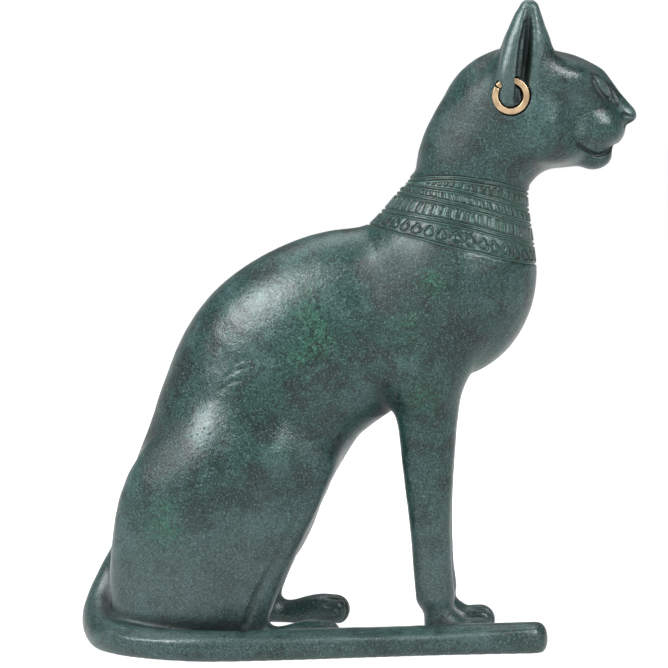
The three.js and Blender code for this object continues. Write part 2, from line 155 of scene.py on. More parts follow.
trunk = limb(
    (-72, 0, 18, 36, 0.62),
    (-65, 0, 42, 38.5, 0.64),
    (-53.5, 0, 65, 44.6, 0.64),
    (-45.5, 0, 86, 45, 0.66),
    (-37, 0, 106, 46.4, 0.68),
    (-23, 0, 130, 48.5, 0.66),
    (2, 0, 147, 46.2, 0.64),
    (26, 0, 155.2, 40.5, 0.66),
    (47, 0, 165, 40, 0.66),
)
breast = mass((56.8, 0, 174), (35.2, 26, 40.4), (0, 6, 0))
neck = limb(
    (55, 0, 178, 33.4, 0.76),
    (60.4, 0, 199, 30.4, 0.78),
    (64.4, 0, 213, 27.1, 0.82),
    (67.5, 0, 228, 27.4, 0.84),
    (79.6, 0, 246, 29.4, 0.85),
)
shoulder = mass((46, 20, 146), (18, 10, 33), (0, 8, 0))
foreleg = limb(
    (45, 15, 130, 17, 0.75),
    (44.8, 13.6, 108, 14.2, 0.7),
    (45, 12.4, 92, 12.6, 0.68),
    (45.6, 12, 73, 10.9, 0.7),
    (46.6, 12, 54, 9.6, 0.78),
    (47.6, 12.2, 36, 9.1, 0.8),
    (49, 12.6, 23, 9.2, 0.85),
)
forepaw = limb(
    (52, 13, 10, 8.4, 0.95),
    (61, 13.2, 6, 7, 1.05),
    (69.8, 13.4, 5.8, 7, 1.08),
)
flank = mass((-34, 17.5, 118), (22, 10, 7), (0, 12, 0))
hip = mass((-38, 29.4, 86), (13, 9, 12), (0, 8, 0))
kneecap = mass((-26, 27.6, 90), (8, 8, 10))
thigh = limb(
    (-53, 21, 80, 26, 0.6),
    (-60, 25, 62, 38, 0.47),
    (-66, 25.6, 34, 36.4, 0.45),
    (-69, 25.6, 15, 31.6, 0.5),
)
knee = limb(
    (-44, 22, 84, 20, 0.6),
    (-26, 24, 86, 13, 0.7),
)
shin = limb(
    (-9.6, 20, 84, 9, 0.9),
    (-13.2, 25.6, 70, 8.6, 0.9),
    (-20, 28, 53, 7.6, 0.9),
    (-27.6, 28, 35.2, 7.2, 0.9),
    (-34, 27.6, 19, 6.8, 0.9),
    (-36, 27.4, 8, 6.4, 1),
)
hindfoot = limb(
    (-36, 27, 5.5, 5.8, 1.1),
    (-23, 27, 4.2, 6, 1.15),
    (-10, 27, 6, 7.4, 1.05),
    (-1.4, 27, 6.2, 7.2, 1.08),
)
TAIL_LINE = [
    (-96, 2, 48, 6, 1),
    (-106.2, -4, 27, 7.4, 1),
    (-110, -14, 12, 8.4, 1),
    (-104, -31, 6, 8.2, 1),
    (-86, -45, 5.4, 7.6, 1),
    (-57, -50, 5.4, 7.6, 1),
    (-26, -46, 5.4, 7.6, 1),
    (12, -38, 5.4, 7.6, 1),
    (52, -30, 5.6, 7.6, 1),
    (98, -22.8, 6, 7.8, 1),
]
tail = limb(*TAIL_LINE)
tail_end = 102.0
skull = mass((86, 0, 251), (30.5, 25.5, 29))
forehead = mass((107, 0, 253), (24, 18, 22.8))
cheek = mass((99, 14.6, 241.6), (20, 11.2, 15), (0, 0, -14))
temple = mass((111, 13.4, 262.4), (14.4, 9.4, 9.4), (0, 22, -31))
bridge = limb(
    (121, 0, 261.6, 7.4, 0.8),
    (135.6, 0, 249.2, 4.4, 1),
)
nose = mass((137.6, 0, 247.6), (3.6, 4.4, 3.2))
muzzle = limb(
    (106, 0, 242, 17, 0.95),
    (126.8, 0, 242, 9.4, 1),
)
cheek_hollow = mass((117, 27, 245), (8, 9.4, 14), (0, 10, -20))
whisker_pad = mass((124.6, 6.8, 242.4), (10, 7.8, 8.6), (0, 8, -20))
jaw = limb(
    (90, 0, 243.6, 17, 1),
    (107, 0, 237.6, 10.2, 1.16),
    (120.4, 0, 230.4, 7, 1.12),
)
chin = mass((122, 0, 229), (7.8, 8, 6))
mouth = limb(
    (132, 0, 233.6, 0.8),
    (130, 3.4, 232.6, 0.8),
    (126.5, 7.2, 230.6, 0.9),
    (122.8, 8.9, 229.4, 1),
    (120, 10.4, 230, 1),
    (117.6, 13.6, 231.7, 1),
    (115, 17, 233.4, 0.9),
    (113.4, 19, 234.6, 0.6),
)
eye_socket = mass((125.8, 13.4, 260.6), (3.8, 9, 5.6), (38, 0, 43))
eyeball = mass((123.4, 11.3, 260.2), (3.5, 7.2, 3.9), (38, 0, 43))
ear = limb(
    (88.6, 17, 262, 14.6, 0.72),
    (89.8, 20, 276, 12, 0.7),
    (90.2, 21.5, 286, 8.3, 0.76),
    (90.8, 22.5, 295.4, 4.6, 0.85),
)
ear_flap = limb(
    (87.8, 23.4, 291.5, 2, 0.8),
    (84.4, 25.4, 279, 4, 0.7),
    (81.6, 27, 265.5, 4.8, 0.76),
    (80.9, 25.6, 257, 4.8, 0.66),
    (82.2, 23.6, 249.5, 3.4, 0.7),
)
ear_hollow = mass((89.2, 31, 273), (2.8, 8.4, 25), (4, 4, 0))
ear_slit = limb(
    (89.4, 26.6, 289.5, 0.9),
    (88, 28.6, 279, 1.6),
    (87, 29, 267, 1.7),
    (85.8, 28.6, 257, 1.3),
    (85.2, 26, 251, 0.9),
)

RING_DIAMETER = 16.8
RING_BAND = 2.7
RING_THICKNESS = 2.0
RING_ROUNDING = 0.8
RING_SLIT = 0.6
RING_SLIT_TURN = 142.0
RING_LINE_RADIUS = (RING_DIAMETER - RING_BAND) / 2
RING_CENTRE = np.array([82.8, -27.4, 263.4 - RING_LINE_RADIUS])
PIERCING_RADIUS = 1.95

solid_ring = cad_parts["earring"]
ring_corners = np.array([solid_ring.matrix_world @ Vector(corner) for corner in solid_ring.bound_box])
ring_middle = (ring_corners.min(axis=0) + ring_corners.max(axis=0)) / 2 / MM
# Where the cat's own frame lies in the model's.
ORIGIN = ring_middle - RING_CENTRE
ORIGIN[2] = 0


def piercing(points):
    """The round channel in which the ring passes through the ear's rim."""
    offset = points - RING_CENTRE
    from_line = np.hypot(offset[:, 0], offset[:, 2]) - RING_LINE_RADIUS
    return np.hypot(from_line, offset[:, 1]) - PIERCING_RADIUS


def head(points, paired):
    """The head with its ears, built up and cut in the order in which the masses lie on each other."""
    skin = melt(skull(points), forehead(points), 10)
    skin = melt(skin, melt(jaw(points), muzzle(points), 6), 8)
    skin = melt(skin, cheek(paired), 8)
    skin = melt(skin, temple(paired), 6)
    skin = melt(skin, bridge(points), 4)
    skin = carve(skin, cheek_hollow(paired), 8)
    skin = melt(skin, whisker_pad(paired), 3)
    skin = melt(skin, chin(points), 3)
    skin = melt(skin, nose(points), 2)
    skin = carve(skin, eye_socket(paired), 3)
    skin = melt(skin, eyeball(paired), 0.8)
    skin = carve(skin, mouth(paired), 1.2)
    skin = melt(skin, ear(paired), 9)
    skin = carve(skin, ear_hollow(paired), 2.4)
    skin = melt(skin, ear_flap(paired), 4)
    return carve(skin, ear_slit(paired), 1)


def cat_skin(points):
    """The whole cat down to the floor."""
    paired = folded(points)
    skin = melt(trunk(points), breast(points), 20)
    skin = melt(skin, neck(points), 13)
    skin = melt(skin, shoulder(paired), 14)
    skin = melt(skin, flank(paired), 10)
    haunch = melt(knee(paired), thigh(paired), 14)
    haunch = melt(haunch, hip(paired), 5)
    haunch = melt(haunch, kneecap(paired), 5)
    haunch = melt(haunch, shin(paired), 9)
    skin = melt(skin, haunch, 17)
    skin = melt(skin, hindfoot(paired), 5)
    skin = melt(skin, melt(foreleg(paired), forepaw(paired), 5), 8)
    skin = melt(skin, head(points, paired), 4)
    skin = melt(skin, carve(tail(points), tail_end - points[:, 0], 8), 4)
    skin = np.maximum(skin, -points[:, 2])
    return np.maximum(skin, -piercing(points))


def slope_of(shape, points, step=0.25):
    """The direction in which a shape's distance grows, at each point."""
    corners = np.array([(1, 1, 1), (1, -1, -1), (-1, 1, -1), (-1, -1, 1)], float)
    slope = sum(shape(points + step * corner)[:, None] * corner for corner in corners)
    return slope / (np.linalg.norm(slope, axis=1)[:, None] + 1e-9)


def settled(points, rounds=3):
    """Points brought onto the cat's skin."""
    for turn in range(rounds):
        if turn < 2:
            slope = slope_of(cat_skin, points)
        distance = np.clip(cat_skin(points), -1.5, 1.5)
        points = points - distance[:, None] * slope
    return points


# Chasing: fine lines cut into the skin, or raised from it.

def step_between(value, low, high):
    """0 below low, 1 above high, smooth between."""
    t = np.clip((value - low) / (high - low), 0, 1)
    return t * t * (3 - 2 * t)


def line_depth(points, path, width, depth, seen_from="side"):
    """How deep one chased line lies at each point. The line is drawn as seen from the side or from above."""
    axes = [0, 2] if seen_from == "side" else [0, 1]
    path = smooth_path(path, 6)
    flat = points[:, axes]
    result = np.zeros(len(points))
    near = np.all((flat > path.min(axis=0) - width) & (flat < path.max(axis=0) + width), axis=1)
    if not near.any():
        return result
    close = flat[near]
    nearest = np.full(len(close), np.inf)
    for start, end in zip(path, path[1:]):
        run = end - start
        along = np.clip((close - start) @ run / (run @ run), 0, 1)
        offset = close - start - along[:, None] * run
        nearest = np.minimum(nearest, np.sqrt((offset ** 2).sum(axis=1)))
    result[near] = depth * (1 - step_between(nearest, width * 0.1, width * 0.6))
    return result


def chased(points, lines):
    """How deep a set of chased lines lies at each point."""
    return sum(line_depth(points, path, width, depth) for path, width, depth in lines)


# The collar. Its lines lie in planes that drop from nape to breast, a little bowed.
# Height is at COLLAR_X; drop is for each millimetre forward; bow is how far the ends hang below the middle.
COLLAR_X = 69.5
COLLAR_LINES = [
    {"height": 184.8, "drop": 0.241, "bow": 0.2, "double": False},
    {"height": 194.4, "drop": 0.240, "bow": 1.4, "double": True},
    {"height": 203.1, "drop": 0.250, "bow": 1.4, "double": True},
    {"height": 209.6, "drop": 0.216, "bow": 1.9, "double": True},
    {"height": 216.4, "drop": 0.110, "bow": 3.6, "double": True},
]
LINE_DEPTH = 0.75
DROP_DEPTH = 0.7
DROP_PITCH = 5.2
DROP_RISE = 3.6
DROP_RADIUS = 1.85
STROKE_PITCHES = (3.9, 3.6, 3.7)
STROKE_LEAN = 1.1
DOUBLE_LINE_GAP = 2.0
# How far the engraver's hand strays along and across the lines.
HAND_SWAY = 0.35
HAND_RISE = 0.18
NECK_MIDDLE_X = 60.0
NECK_HALF_LENGTH = 33.0
NECK_HALF_WIDTH = 24.0


def round_the_neck(points):
    """How far round the neck each point is, in millimetres from the nape."""
    angle = np.linspace(-math.pi, math.pi, 721)
    pace = np.hypot(NECK_HALF_LENGTH * np.sin(angle), NECK_HALF_WIDTH * np.cos(angle))
    way = np.concatenate([[0], np.cumsum((pace[1:] + pace[:-1]) / 2 * np.diff(angle))])
    across = points[:, 1] / NECK_HALF_WIDTH
    forward = (points[:, 0] - NECK_MIDDLE_X) / NECK_HALF_LENGTH
    return np.interp(np.arctan2(across, forward), angle, way), way[-1]


def line_height(points, line):
    """How high one of the collar's lines runs at each point."""
    forward = points[:, 0] - COLLAR_X
    bowed = line["bow"] * ((points[:, 0] - 64) / 27) ** 2
    return line["height"] - line["drop"] * forward - bowed


def collar_depth(points):
    """The engraved collar: lines, upright strokes in three bands, and a band of drops."""
    result = np.zeros(len(points))
    near = (points[:, 2] > 172) & (points[:, 2] < 226) & (points[:, 0] > 12) & (points[:, 0] < 104)
    close = points[near]
    way, full_way = round_the_neck(close)
    way = way + HAND_SWAY * wavering(close, 10, 7)
    unsteady = HAND_RISE * wavering(close, 14, 8)
    above = [close[:, 2] - line_height(close, line) + unsteady for line in COLLAR_LINES]
    depth = np.zeros(len(close))
    for line, rise in zip(COLLAR_LINES, above):
        for offset in (0, DOUBLE_LINE_GAP) if line["double"] else (0,):
            line_cut = 1 - step_between(np.abs(rise - offset), 0.2, 0.68)
            depth = np.maximum(depth, LINE_DEPTH * line_cut)
    for band, pitch in enumerate(STROKE_PITCHES):
        foot = above[band + 1] - DOUBLE_LINE_GAP
        head_room = -above[band + 2]
        share = foot / (foot + head_room)
        count = round(full_way / pitch)
        leaning = way + STROKE_LEAN * share * (1 if band % 2 else -1)
        aside = np.abs((leaning / full_way * count) % 1 - 0.5) * full_way / count
        stroke = 1 - step_between(aside, 0.35, 0.9)
        ends = step_between(share, 0.08, 0.24) * (1 - step_between(share, 0.76, 0.94))
        depth = np.maximum(depth, LINE_DEPTH * stroke * ends * (foot > 0) * (head_room > 0))
    foot = above[0]
    count = round(full_way / DROP_PITCH)
    aside = ((way / full_way * count) % 1 - 0.5) * full_way / count
    rise = foot - DROP_RISE
    wide = np.where(rise > 0, 1 - 0.55 * np.clip(rise / 3.4, 0, 1), 1)
    ring = np.hypot(aside / wide, np.where(rise > 0, rise * 0.62, rise))
    drop = 1 - step_between(np.abs(ring - DROP_RADIUS), 0.2, 0.55)
    depth = np.maximum(depth, DROP_DEPTH * drop * (foot > 0.5) * (foot < 8.4))
    result[near] = depth
    return result


TOE_PITCH = 3.7
TOE_DEPTH = 1.3
FOREPAW_TIP = 76.8
HINDPAW_TIP = 5.6


def toe_depth(points, tip, middle):
    """The valleys between the four toes of a paw. The toes between them stay round."""
    aside = points[:, 1] - middle
    valley = (1 - np.abs(np.sin(math.pi * aside / TOE_PITCH))) ** 2
    on_toes = step_between(points[:, 0], tip - 13, tip - 7) * (np.abs(aside) < TOE_PITCH * 2)
    return TOE_DEPTH * valley * on_toes * (points[:, 0] < tip + 2) * (points[:, 2] < 18)


# Lines chased on both sides of the face: path, width and depth.
FACE_LINES = [
    ([(113.4, 234.6), (117.6, 231.8), (122.8, 229.4), (126.5, 230.4), (130, 232.6), (132, 233.6)], 1.6, 0.7),
    ([(119.4, 266.8), (121.6, 262.6), (124.6, 257.6), (128.8, 254.4), (132.4, 252)], 1.3, 0.5),
    ([(119.4, 266.8), (123.4, 265.4), (127.6, 261.4), (130.4, 256.6), (132.4, 252)], 1.1, 0.4),
    ([(134.8, 248.8), (137, 247.4), (139.6, 247.4)], 1.3, 0.8),
    ([(139, 245.6), (136.8, 244.2), (135, 242.4)], 1.2, 0.5),
]
# Marks on the body, on both sides: the fold of the thigh over the shin, and the elbow's fold.
BODY_LINES = [
    ([(-10, 72), (-12.7, 66.8), (-17.8, 56), (-22, 46.8), (-32.2, 27.8), (-38, 13)], 4.2, 0.8),
    ([(31, 117), (31.4, 119.6), (32.8, 126.1), (36, 131.2), (36.8, 138)], 2.6, 0.6),
]
# Marks on the right side only: creases of the flank and scratches.
RIGHT_LINES = [
    ([(-45, 131.6), (-41.4, 134.4), (-35.8, 135.8), (-32, 135.2)], 1.8, 0.35),
    ([(-48, 127), (-43.2, 130.2), (-36.8, 132)], 1.8, 0.32),
    ([(-49.8, 121.4), (-45, 125), (-39.4, 126)], 2, 0.3),
    ([(-76, 71), (-73.6, 66.6), (-73, 62.4)], 1.1, 0.4),
    ([(-74.6, 64.6), (-77.4, 61.4)], 1, 0.35),
    ([(-71.4, 68.4), (-73.2, 65)], 1, 0.3),
]
CRUST_CENTRE = (-72.8, 56.2)
CRUST_RADIUS = 3.0
TAIL_RIDGE = [(-103, -42), (-86, -52.6), (-57, -56), (-26, -52.4), (12, -44.6), (60, -35.4), (96, -28.6)]


def face_depth(points):
    """The face's lines and lids."""
    paired = folded(points)
    on_head = (points[:, 2] > 224) & (paired[:, 1] > 1)
    depth = chased(paired, FACE_LINES) * on_head
    lid = np.abs(eyeball(paired) - 1.1)
    return depth - 0.5 * (1 - step_between(lid, 0.2, 1.1)) * (points[:, 0] > 110)


def body_depth(points):
    """Folds, creases, scratches, a ring of crust, and the ridge along the tail."""
    paired = folded(points)
    on_right = points[:, 1] < -14
    on_flanks = paired[:, 1] > 14
    depth = chased(paired, BODY_LINES) * on_flanks
    depth += chased(points, RIGHT_LINES) * on_right
    crust = np.hypot(points[:, 0] - CRUST_CENTRE[0], points[:, 2] - CRUST_CENTRE[1]) - CRUST_RADIUS
    depth -= 0.4 * (1 - step_between(np.abs(crust), 0.3, 1.1)) * on_right
    on_tail = (points[:, 2] > 8) & (points[:, 2] < 16)
    return depth - line_depth(points, TAIL_RIDGE, 2.6, 0.5, "above") * on_tail


def paw_depth(points):
    """The toes of all four paws."""
    paired = folded(points)
    return toe_depth(paired, FOREPAW_TIP, 13.4) + toe_depth(paired, HINDPAW_TIP, 27)


def wavering(points, size, seed):
    """A smooth unevenness between -1 and 1, its hills about `size` millimetres apart."""
    chance = np.random.default_rng(seed)
    total = np.zeros(len(points))
    for _ in range(9):
        direction = chance.normal(size=3)
        direction *= 2 * math.pi / (np.linalg.norm(direction) * size * chance.uniform(0.7, 1.4))
        total += np.sin(points @ direction + chance.uniform(0, 2 * math.pi))
    return np.clip(total / 4, -1, 1)


# Meshes in and out of arrays.

def points_of(mesh):
    flat = np.empty(len(mesh.vertices) * 3)
    mesh.vertices.foreach_get("co", flat)
    return flat.reshape(-1, 3) / MM - ORIGIN


def put_points(mesh, points):
    mesh.vertices.foreach_set("co", ((points + ORIGIN) * MM).ravel())
    mesh.update()


def normals_of(mesh):
    flat = np.empty(len(mesh.vertices) * 3)
    mesh.vertex_normals.foreach_get("vector", flat)
    return flat.reshape(-1, 3)


def make_active(piece):
    bpy.ops.object.select_all(action="DESELECT")
    piece.select_set(True)
    bpy.context.view_layer.objects.active = piece


def apply_modifier(piece, kind, **settings):
    make_active(piece)
    modifier = piece.modifiers.new(kind.title(), kind)
    for name, value in settings.items():
        setattr(modifier, name, value)
    bpy.ops.object.modifier_apply(modifier=modifier.name)


def refine(piece, wanted):
    """Divides the faces whose middle points are wanted."""
    mesh = piece.data
    middles = np.empty(len(mesh.polygons) * 3)
    mesh.polygons.foreach_get("center", middles)
    chosen = wanted(middles.reshape(-1, 3) / MM - ORIGIN)
    mesh.vertices.foreach_set("select", np.zeros(len(mesh.vertices), bool))
    mesh.edges.foreach_set("select", np.zeros(len(mesh.edges), bool))
    mesh.polygons.foreach_set("select", chosen)
    make_active(piece)
    bpy.ops.object.mode_set(mode="EDIT")
    bpy.ops.mesh.select_mode(type="FACE")
    bpy.ops.mesh.subdivide(number_cuts=1)
    bpy.ops.object.mode_set(mode="OBJECT")


def on_collar(points):
    """Where the collar's band lies, with a little to spare."""
    rise = points[:, 2] + 0.24 * (points[:, 0] - COLLAR_X)
    return (rise > 181.5) & (rise < 222) & (points[:, 0] > 14) & (points[:, 0] < 104) & (points[:, 2] > 174)


def on_face_or_paws(points):
    """The other places that carry fine work."""
    x, y, z = points.T
    face = (x > 112) & (z > 222)
    forepaws = (z < 17) & (x > 58) & (np.abs(y) < 23)
    hindpaws = (z < 17) & (x > -12) & (x < 9) & (np.abs(y) > 17) & (np.abs(y) < 37)
    ears = (z > 246) & (np.abs(y) > 20) & (x > 76) & (x < 104)
    return face | forepaws | hindpaws | ears


def make_cat():
    """The solid's skin, made fine, brought onto the cat's shape and carved."""
    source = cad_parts["cat"]
    cat = bpy.data.objects.new("cat_carved", source.data.copy())
    bpy.context.collection.objects.link(cat)
    make_active(cat)
    bpy.ops.object.mode_set(mode="EDIT")
    bpy.ops.mesh.select_all(action="SELECT")
    bpy.ops.mesh.remove_doubles(threshold=1e-6)
    bpy.ops.object.mode_set(mode="OBJECT")
    apply_modifier(cat, "REMESH", mode="VOXEL", voxel_size=SKIN_VOXEL * MM, adaptivity=0)
    put_points(cat.data, settled(points_of(cat.data)))
    apply_modifier(cat, "SMOOTH", factor=0.5, iterations=3)
    refine(cat, lambda points: on_collar(points) | on_face_or_paws(points))
    refine(cat, on_collar)
    points = points_of(cat.data)
    fine = on_face_or_paws(points)
    points[fine] = settled(points[fine], 2)
    put_points(cat.data, points)
    depth = collar_depth(points) + face_depth(points) + body_depth(points) + paw_depth(points)
    uneven = 0.16 * wavering(points, 26, 3) + 0.06 * wavering(points, 9, 4)
    depth -= uneven
    lifted = points - depth[:, None] * normals_of(cat.data)
    floor_side = points[:, 2] < 0.4
    lifted[floor_side, 2] = np.maximum(points[floor_side, 2], 0)
    put_points(cat.data, lifted)
    triangles = sum(len(face.vertices) - 2 for face in cat.data.polygons)
    apply_modifier(cat, "DECIMATE", ratio=min(1, CAT_TRIANGLES / triangles), use_collapse_triangulate=True)
    cat.data.polygons.foreach_set("use_smooth", np.ones(len(cat.data.polygons), bool))
    return cat


# Green patches: along, up, radius.
GREEN_PATCHES = [
    (-6.6, 152, 17),
    (-15, 140, 11),
    (45, 117, 9),
    (49, 171, 9),
    (82, 196, 15),
    (-76, 60, 13),
    (-20, 96, 8),
    (38, 150, 10),
    (70, 130, 9),
]
# Where the skin has no shine left: along, up, radius.
DULL_PATCHES = [
    (36, 170, 26),
    (52, 150, 24),
    (60, 238, 18),
    (76, 252, 18),
    (-76, 95, 17),
]
# A painted highlight: the collar's front, painted paler.
PAINTED_HIGHLIGHT_PATCHES = [
    (88, 200, 20),
]


def closeness(points, patches):
    """How near each point is, seen from the side, to the closest of some patches: 1 in its middle."""
    away = [np.hypot(points[:, 0] - x, points[:, 2] - z) / radius for x, z, radius in patches]
    return 1 - np.min(away, axis=0)


def paint_marks(cat):
    """Marks on the skin for the finish, painted shade and a painted highlight among them, each from 0 to 1.
    """
    mesh = cat.data
    points = points_of(mesh)
    outward = normals_of(mesh)
    over = cat_skin(points + 5 * outward)
    under = cat_skin(points - 5 * outward)
    green = 0.2 + closeness(points, GREEN_PATCHES) + 0.35 * wavering(points, 16, 11)
    dull = 2 * closeness(points, DULL_PATCHES) + 0.3 * wavering(points, 20, 12)
    # How near each point is to the painted highlight on the collar's front.
    worn = np.maximum(closeness(points, PAINTED_HIGHLIGHT_PATCHES), 0)
    height = points[:, 2]
    marks = {
        "groove": collar_depth(points) / LINE_DEPTH,
        # Painted shade, with darker patina: hollows where more skin lies within 5 mm, the face's chased
        # lines and the toes' valleys.
        "hollow_shade_and_patina": step_between(5 - over, 0.5, 3.2) + face_depth(points) / 0.7 + paw_depth(points) / 1.2,
        "proud": 0.5 + (over + under) * 0.3,
        "green": green,
        "dull": dull,
        # Paler and greyer towards the bottom, and paler still on the collar's front as a painted highlight.
        "pale_low_and_collar_highlight": 0.55 + 0.45 * step_between(height, 10, 24) - step_between(height, 24, 100) + 1.6 * worn,
    }
    for name, values in marks.items():
        layer = mesh.attributes.new(name, "FLOAT", "POINT")
        layer.data.foreach_set("value", np.clip(values, 0, 1))


# Shader maths as expressions.

class Value:
    """A number that a shader works out, wrapped so that it can be written as arithmetic."""

    def __init__(self, nodes, socket):
        self.nodes = nodes
        self.socket = socket

    def _with(self, operation, other, swapped=False, clamp=False):
        inputs = [self.socket, other.socket if isinstance(other, Value) else other]
        if swapped:
            inputs.reverse()
        node = self.nodes.add("ShaderNodeMath", {"operation": operation, "use_clamp": clamp}, inputs)
        return Value(self.nodes, node.outputs[0])

    def __add__(self, other):
        return self._with("ADD", other)

    def __radd__(self, other):
        return self._with("ADD", other, swapped=True)

    def __sub__(self, other):
        return self._with("SUBTRACT", other)

    def __rsub__(self, other):
        return self._with("SUBTRACT", other, swapped=True)

    def __mul__(self, other):
        return self._with("MULTIPLY", other)

    def __rmul__(self, other):
        return self._with("MULTIPLY", other, swapped=True)

    def clipped(self):
        return self._with("ADD", 0.0, clamp=True)

    def between(self, low, high):
        """0 below low, 1 above high, smooth between."""
        node = self.nodes.add(
            "ShaderNodeMapRange",
            {"interpolation_type": "SMOOTHSTEP"},
            {"Value": self.socket, "From Min": low, "From Max": high},
        )
        return Value(self.nodes, node.outputs["Result"])


class Finish:
    """One material and the nodes that make it."""

    def __init__(self, name):
        self.material = bpy.data.materials.new(name)
        self.material.use_nodes = True
        self.tree = self.material.node_tree
        self.shader = self.tree.nodes["Principled BSDF"]
        self.place = self.add("ShaderNodeTexCoord").outputs["Object"]

    def add(self, kind, settings=(), inputs=()):
        node = self.tree.nodes.new(kind)
        for name, value in dict(settings).items():
            setattr(node, name, value)
        pairs = inputs.items() if isinstance(inputs, dict) else enumerate(inputs)
        for name, value in pairs:
            self.feed(node.inputs[name], value)
        return node

    def feed(self, socket, value):
        if isinstance(value, Value):
            value = value.socket
        if isinstance(value, bpy.types.NodeSocket):
            self.tree.links.new(value, socket)
        else:
            socket.default_value = value

    def set(self, **sockets):
        for name, value in sockets.items():
            self.feed(self.shader.inputs[name.replace("_", " ")], value)

    def noise(self, size, detail=3.0, roughness=0.5):
        """Noise with features about `size` millimetres across, from 0 to 1."""
        inputs = {
            "Vector": self.place,
            "Scale": 1 / (size * MM),
            "Detail": detail,
            "Roughness": roughness,
        }
        return Value(self, self.add("ShaderNodeTexNoise", (), inputs).outputs[0])

    def cells(self, size):
        """Distance from the middle of the nearest of many cells about `size` millimetres apart."""
        inputs = {"Vector": self.place, "Scale": 1 / (size * MM)}
        return Value(self, self.add("ShaderNodeTexVoronoi", (), inputs).outputs["Distance"])

    def mark(self, name):
        return Value(self, self.add("ShaderNodeAttribute", {"attribute_name": name}).outputs["Fac"])

    def blend(self, share, first, second):
        """Goes from the first colour to the second as the share goes from 0 to 1."""
        node = self.add("ShaderNodeMix", {"data_type": "RGBA"})
        self.feed(node.inputs["Factor"], share)
        for socket, colour in ((node.inputs[6], first), (node.inputs[7], second)):
            self.feed(socket, (*colour, 1) if isinstance(colour, tuple) else colour)
        return node.outputs[2]

    def bump(self, height, distance, strength=1.0, under=None):
        inputs = {"Height": height, "Distance": distance * MM, "Strength": strength}
        if under:
            inputs["Normal"] = under
        return self.add("ShaderNodeBump", (), inputs).outputs["Normal"]


def shade(red, green, blue):
    """A colour given as 0 to 255 on the screen, as the linear values that a shader takes."""
    scaled = [channel / 255 for channel in (red, green, blue)]
    return tuple(c / 12.92 if c <= 0.04045 else ((c + 0.055) / 1.055) ** 2.4 for c in scaled)


def bronze_finish():
    finish = Finish("patinated_bronze")
    broad = finish.noise(60, 3, 0.55)
    cloud = finish.noise(24, 4, 0.6)
    mottle = finish.noise(14, 5, 0.65)
    speckle = finish.noise(2.4, 5, 0.75)
    grain = finish.noise(0.8, 3, 0.7)
    groove = finish.mark("groove")
    hollow_shade_and_patina = finish.mark("hollow_shade_and_patina")
    proud = finish.mark("proud")
    green = finish.mark("green")
    pale_low_and_collar_highlight = finish.mark("pale_low_and_collar_highlight")
    dull = finish.mark("dull")

    # The dark used for painted shade in hollows and along the rims of the collar's grooves.
    shade_and_patina_dark = shade(3, 14, 12)
    colour = finish.blend(broad.between(0.35, 0.65), shade(20, 46, 45), shade(12, 42, 37))
    # Paler and greyer towards the bottom, with a painted highlight on the collar's front.
    colour = finish.blend(pale_low_and_collar_highlight * 0.7, colour, shade(50, 62, 62))
    colour = finish.blend(cloud.between(0.5, 0.66) * 0.4, colour, shade(52, 76, 76))
    colour = finish.blend(dull * 0.55, colour, shade(5, 23, 20))
    colour = finish.blend(mottle.between(0.47, 0.6) * 0.85 * (1 - 0.7 * pale_low_and_collar_highlight), colour, shade(2, 20, 18))
    verdigris = green * mottle.between(0.36, 0.58) * speckle.between(0.4, 0.6)
    colour = finish.blend(verdigris * 0.7, colour, shade(18, 76, 56))
    colour = finish.blend(speckle.between(0.52, 0.68) * 0.2, colour, shade(54, 78, 75))
    colour = finish.blend(grain.between(0.53, 0.66) * 0.4, colour, shade(84, 108, 104))
    colour = finish.blend(grain.between(0.48, 0.36) * (0.85 - 0.35 * pale_low_and_collar_highlight), colour, shade(0, 4, 3))
    colour = finish.blend(proud.between(0.6, 0.95) * 0.35, colour, shade(66, 84, 83))
    # Painted shade: a dark band along the rims of the collar's grooves.
    edge = groove.between(0.04, 0.3) * (1 - groove.between(0.45, 0.75))
    colour = finish.blend(edge * 0.7, colour, shade_and_patina_dark)
    colour = finish.blend(groove.between(0.6, 1) * 0.4, colour, shade(88, 128, 114))
    # Painted shade in hollows, chased lines and toe valleys, where the patina is darker too.
    colour = finish.blend(hollow_shade_and_patina * 0.8, colour, shade_and_patina_dark)

    pits = 1 - finish.cells(2.8).between(0.06, 0.24)
    pits = pits * finish.noise(9, 2).between(0.5, 0.62)
    relief = finish.bump(grain, 0.14, 0.6)
    relief = finish.bump(1 - pits, 0.3, 0.6, relief)
    relief = finish.bump(finish.noise(1.9, 3, 0.6), 0.25, 0.6, relief)
    relief = finish.bump(finish.noise(5, 3, 0.6), 0.6, 0.35, relief)
    rough = 0.26 + 0.16 * speckle + 0.2 * verdigris + 0.2 * hollow_shade_and_patina + 0.22 * dull
    finish.set(Base_Color=colour, Metallic=0.1, Roughness=rough.clipped(), Normal=relief)
    finish.set(Specular_IOR_Level=0.35)
    return finish.material


def gold_finish():
    finish = Finish("gold")
    worn = finish.noise(3.2, 3)
    scratches = finish.noise(0.5, 2)
    colour = finish.blend(worn.between(0.35, 0.7), shade(160, 137, 108), shade(182, 158, 128))
    relief = finish.bump(scratches, 0.05, 0.4)
    finish.set(Base_Color=colour, Metallic=1.0, Roughness=0.32 + 0.14 * worn, Normal=relief)
    return finish.material


def floor_finish():
    finish = Finish("pale_floor")
    finish.set(Base_Color=(0.35, 0.35, 0.35, 1), Roughness=0.8, Specular_IOR_Level=0.1)
    finish.set(Emission_Color=(1, 1, 1, 1), Emission_Strength=0.86)
    return finish.material


